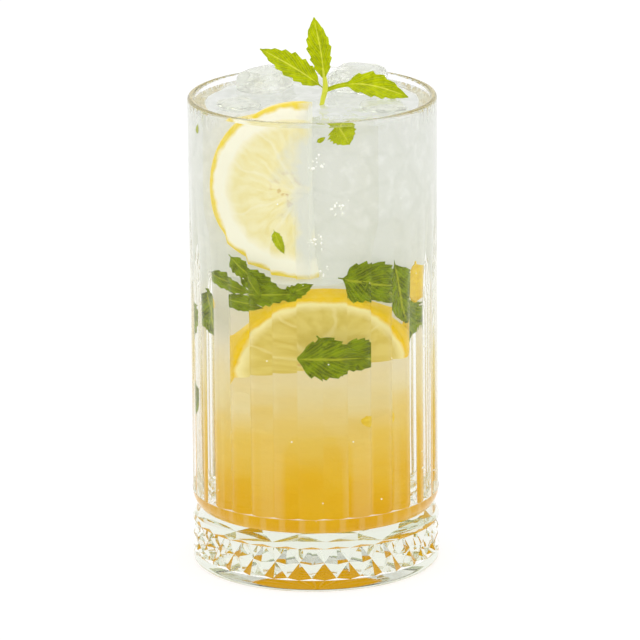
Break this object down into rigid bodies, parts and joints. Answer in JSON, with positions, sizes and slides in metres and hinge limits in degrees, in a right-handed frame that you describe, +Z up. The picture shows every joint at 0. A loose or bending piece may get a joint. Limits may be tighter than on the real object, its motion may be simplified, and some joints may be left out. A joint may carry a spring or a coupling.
{
  "type": "mojito cocktail in a long-drink glass",
  "caption": "Tall ribbed long-drink glass full of a layered mojito with crushed ice, lemon slices and a mint sprig standing in its mouth.",
  "frame": {"origin": "centre of the foot's underside, on the table", "axes": "+Z up through the glass, -Y towards the front where the lemon slice shows, +X to the right as seen from the front"},
  "size_m": [0.076, 0.076, 0.172],
  "materials": {
    "clear_glass": "clear pressed glass, polished, with ribs and cut diamonds",
    "drink": "cloudy long drink, orange syrup at the bottom fading to pale crushed ice at the top",
    "lemon": "wet cut lemon with a thin yellow rind",
    "mint": "fresh mint leaf, waxy",
    "ice": "wet clear ice"
  },
  "bodies": {
    "root": {"glass": "clear_glass", "drink": "drink", "lemon_slice": "lemon", "mint_sprig": "mint", "ice_back_right": "ice", "ice_back_left": "ice", "ice_left": "ice", "ice_right": "ice"}
  },
  "joints": []
}
